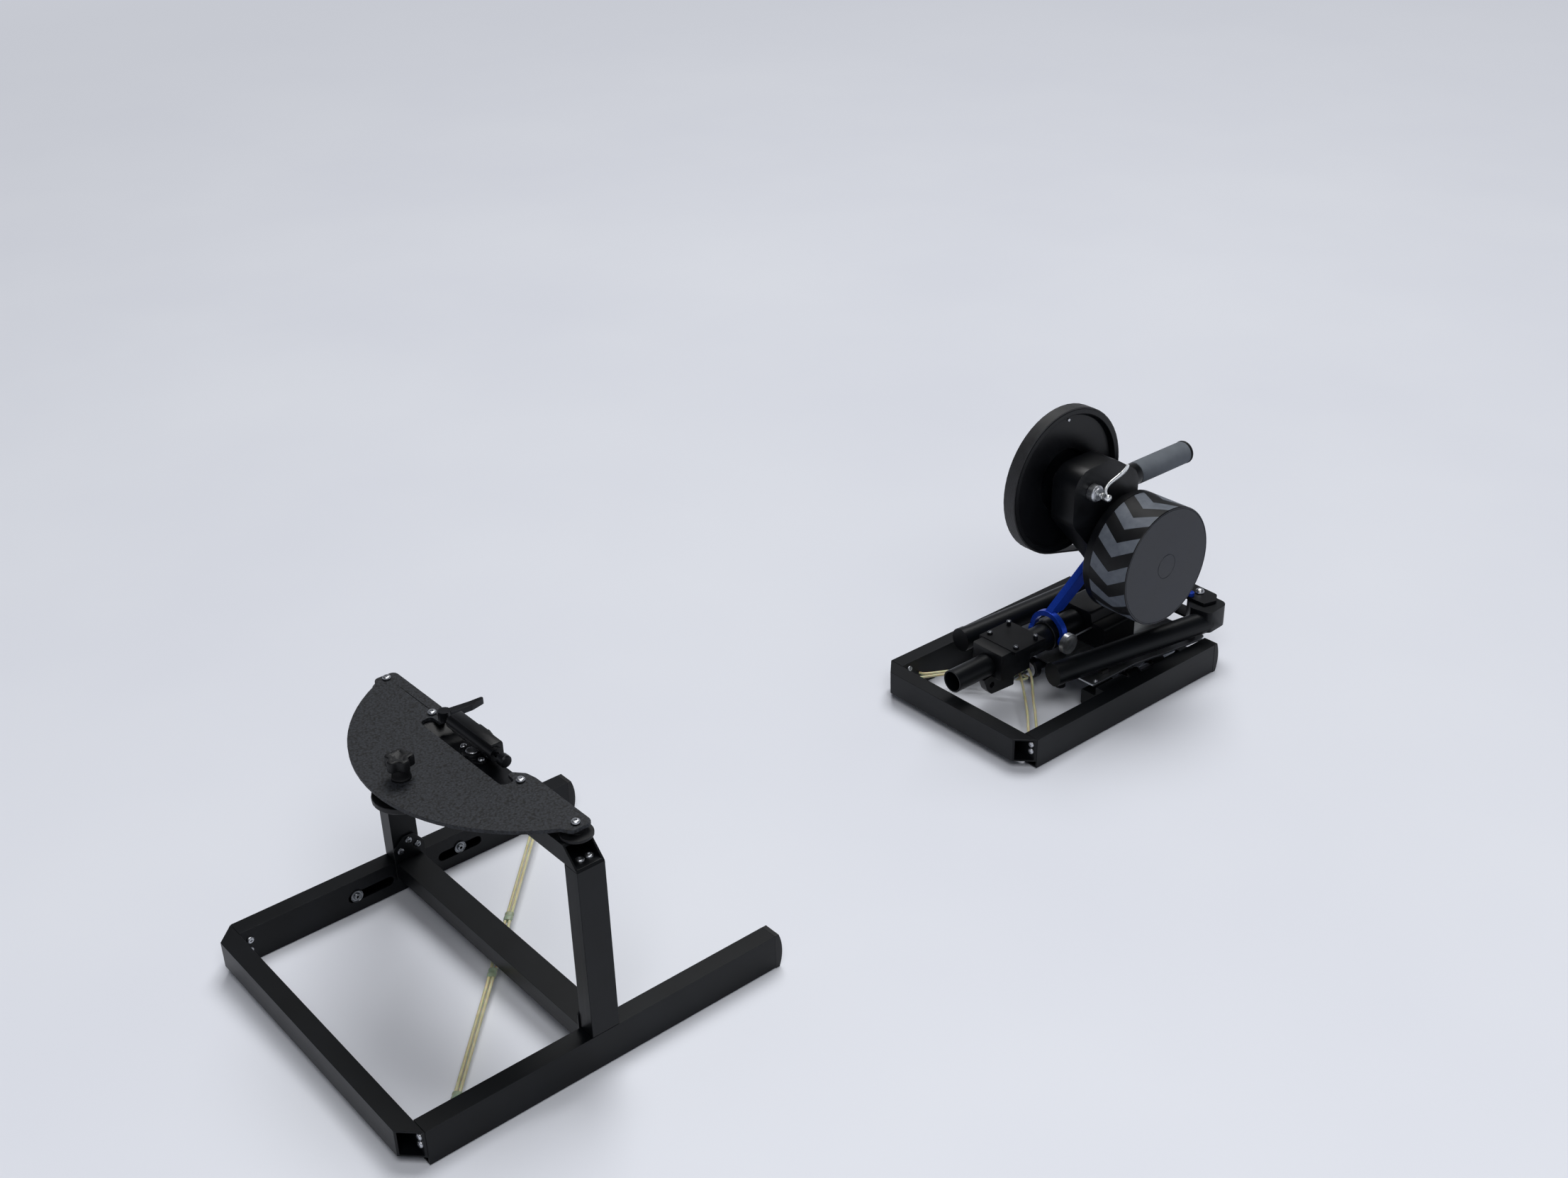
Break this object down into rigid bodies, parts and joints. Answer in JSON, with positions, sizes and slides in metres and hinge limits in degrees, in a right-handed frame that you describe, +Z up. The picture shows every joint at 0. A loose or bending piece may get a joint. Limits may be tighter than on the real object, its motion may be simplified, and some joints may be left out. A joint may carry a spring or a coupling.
{
  "type": "bicycle motion trainer",
  "caption": "Two-piece bicycle trainer: fork stand with a steering plate, and a sliding, tilting rear platform with a belt-driven flywheel and hub axle.",
  "frame": {"origin": "middle of the overall box, on the floor", "axes": "+Y from the steering end to the flywheel end, +Z up, +X to the left of a rider who looks along -Y"},
  "size_m": [0.4862, 1.5652, 0.4614],
  "materials": {
    "black_aluminium": "satin black anodised",
    "black_plastic": "moulded black",
    "black_steel": "satin black coated steel",
    "steel": "bright",
    "latex": "translucent pale yellow",
    "plate_black": "speckled charcoal powder coat",
    "polished": "polished",
    "grip_grey": "matt foam rubber",
    "chrome": "polished",
    "belt_black": "matt ribbed",
    "wheel_steel": "matt slate face",
    "blue_metal": "blue anodised"
  },
  "bodies": {
    "front_base": {"front_rail_left": "black_aluminium", "front_rail_right": "black_aluminium", "front_rail_cap_left": "black_plastic", "front_rail_cap_right": "black_plastic", "front_cross_rail": "black_aluminium", "front_mid_rail": "black_aluminium", "gusset_left": "black_steel", "gusset_right": "black_steel", "upright_left": "black_aluminium", "upright_right": "black_aluminium", "top_beam": "black_aluminium", "pivot_bolt": "steel", "lock_arm": "black_steel", "front_latex_cord": "latex"},
    "steering": {"steer_plate": "plate_black", "steer_channel": "black_steel", "pivot_flange": "black_steel", "plate_post_left": "black_plastic", "plate_post_right": "black_plastic", "lock_puck": "black_plastic"},
    "lock_knob": {"star_knob": "black_plastic"},
    "fork_mount": {"fork_cradle": "black_aluminium", "fork_skewer": "black_steel"},
    "fork_cam": {"fork_lever": "black_aluminium"},
    "rear_base": {"rear_rail_left": "black_aluminium", "rear_rail_right": "black_aluminium", "rear_rail_cap_left": "black_plastic", "rear_rail_cap_right": "black_plastic", "rear_cross_front": "black_aluminium", "rear_cross_back": "black_aluminium", "guide_block_left": "black_aluminium", "guide_block_right": "black_aluminium", "guide_rod_left": "steel", "guide_rod_right": "steel", "rear_latex_cord_left": "latex", "rear_latex_cord_right": "latex"},
    "carriage_body": {"carriage": "black_aluminium"},
    "rocker": {"tray": "polished", "tilt_shaft": "steel", "spine_tube": "black_aluminium", "spine_saddle": "black_aluminium", "clamp_block": "black_aluminium", "rear_bracket": "black_steel"},
    "left_leg": {"leg_left": "black_aluminium"},
    "right_leg": {"leg_right": "black_aluminium"},
    "head": {"head_casting": "black_aluminium", "handle_grip": "grip_grey", "hub_axle": "steel", "hub_skewer": "chrome", "drive_belt": "belt_black"},
    "hub_cam": {"hub_lever": "chrome"},
    "wheel": {"flywheel": "wheel_steel", "drive_pinion": "steel"},
    "hub": {"drive_pulley": "black_aluminium", "cassette": "steel"},
    "collar": {"height_collar": "black_aluminium"},
    "yoke": {"height_yoke": "blue_metal"},
    "knob": {"height_knob": "chrome"}
  },
  "joints": [
    {"name": "steer_yaw", "type": "hinge", "parent": "front_base", "child": "steering", "pos_m": [0, -0.5122, 0.325], "axis": [0, 0, 1], "range_deg": [-6, 6]},
    {"name": "fork_roll", "type": "hinge", "parent": "steering", "child": "fork_mount", "pos_m": [0, -0.5072, 0.336], "axis": [0, 1, 0], "range_deg": [-7, 7]},
    {"name": "lock_knob_turn", "type": "hinge", "parent": "steering", "child": "lock_knob", "pos_m": [0, -0.6072, 0.33], "axis": [0, 0, 1], "continuous": true},
    {"name": "fork_lever_swing", "type": "hinge", "parent": "fork_mount", "child": "fork_cam", "pos_m": [-0.068, -0.5072, 0.342], "axis": [0, 0, 1], "range_deg": [0, 180]},
    {"name": "station_spacing", "type": "slide", "parent": "front_base", "child": "rear_base", "axis": [0, 1, 0], "range_m": [-0.06, 0.06]},
    {"name": "carriage_slide", "type": "slide", "parent": "rear_base", "child": "carriage_body", "axis": [0, 1, 0], "range_m": [-0.032, 0.032], "stiffness_N_per_m": 900, "deforming": ["rear_latex_cord_left", "rear_latex_cord_right"]},
    {"name": "tray_tilt", "type": "hinge", "parent": "carriage_body", "child": "rocker", "pos_m": [-0.006, 0.6186, 0.038], "axis": [0, 1, 0], "range_deg": [-3, 3]},
    {"name": "left_leg_fold", "type": "hinge", "parent": "rocker", "child": "left_leg", "pos_m": [0.09, 0.7646, 0.075], "axis": [0, 0, -1], "range_deg": [-55, 0]},
    {"name": "right_leg_fold", "type": "hinge", "parent": "rocker", "child": "right_leg", "pos_m": [-0.09, 0.7646, 0.075], "axis": [0, 0, -1], "range_deg": [0, 55]},
    {"name": "head_lift", "type": "hinge", "parent": "rocker", "child": "head", "pos_m": [0, 0.7586, 0.122], "axis": [-1, 0, 0], "range_deg": [-8, 4]},
    {"name": "collar_slide", "type": "slide", "parent": "rocker", "child": "collar", "axis": [0, 1, 0], "range_m": [-0.03, 0.016]},
    {"name": "yoke_swing", "type": "hinge", "parent": "collar", "child": "yoke", "pos_m": [-0.009, 0.5196, 0.082], "axis": [1, 0, 0], "range_deg": [-12, 7]},
    {"name": "height_knob_turn", "type": "hinge", "parent": "collar", "child": "knob", "pos_m": [0.02, 0.5196, 0.082], "axis": [1, 0, 0], "continuous": true},
    {"name": "hub_lever_swing", "type": "hinge", "parent": "head", "child": "hub_cam", "pos_m": [0.08, 0.5336, 0.345], "axis": [0, 0.7071, -0.7071], "range_deg": [0, 180]},
    {"name": "wheel_spin", "type": "hinge", "parent": "head", "child": "wheel", "pos_m": [0, 0.6086, 0.227], "axis": [1, 0, 0], "continuous": true},
    {"name": "hub_spin", "type": "hinge", "parent": "head", "child": "hub", "pos_m": [0, 0.5336, 0.345], "axis": [1, 0, 0], "continuous": true}
  ],
  "couplings": [
    {"joint": "collar_slide", "follows": "head_lift", "m_per_rad": 0.178},
    {"joint": "yoke_swing", "follows": "head_lift", "ratio": 1.37},
    {"joint": "hub_spin", "follows": "wheel_spin", "ratio": 0.174}
  ]
}
